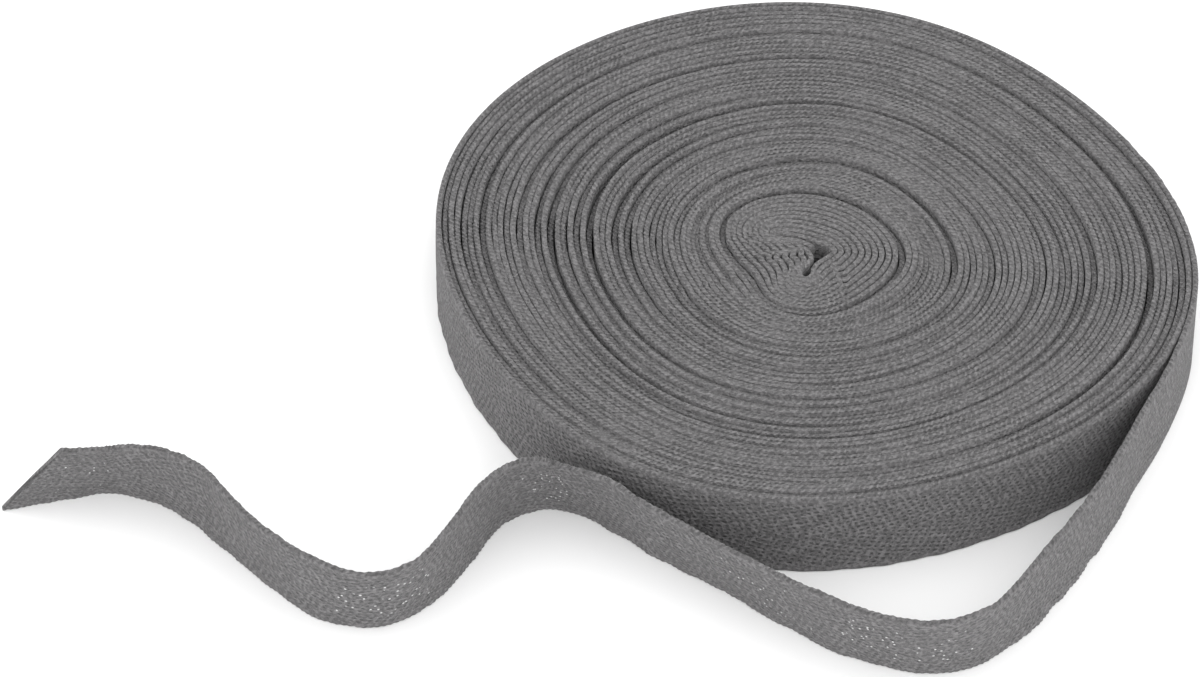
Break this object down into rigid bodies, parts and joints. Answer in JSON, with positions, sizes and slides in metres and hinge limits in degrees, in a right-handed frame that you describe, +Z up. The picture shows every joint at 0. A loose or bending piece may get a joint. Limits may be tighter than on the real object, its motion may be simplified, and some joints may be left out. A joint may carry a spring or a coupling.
{
  "type": "roll of cotton twill tape",
  "caption": "Flat roll of narrow grey cotton twill tape, wound on itself around a folded core, with its loose end standing on edge in front, for sewing, binding and tying.",
  "frame": {"origin": "middle of the roll's underside, on the surface that it rests on", "axes": "+Z up along the axis that the tape is wound about, +X along the object's length, from the cut end on the left towards the roll, +Y away from the side where the loose end lies"},
  "size_m": [0.1589, 0.1243, 0.0128],
  "materials": {
    "cotton": "matte herringbone twill"
  },
  "bodies": {
    "root": {"roll": "cotton", "loose_end": "cotton"}
  },
  "joints": []
}
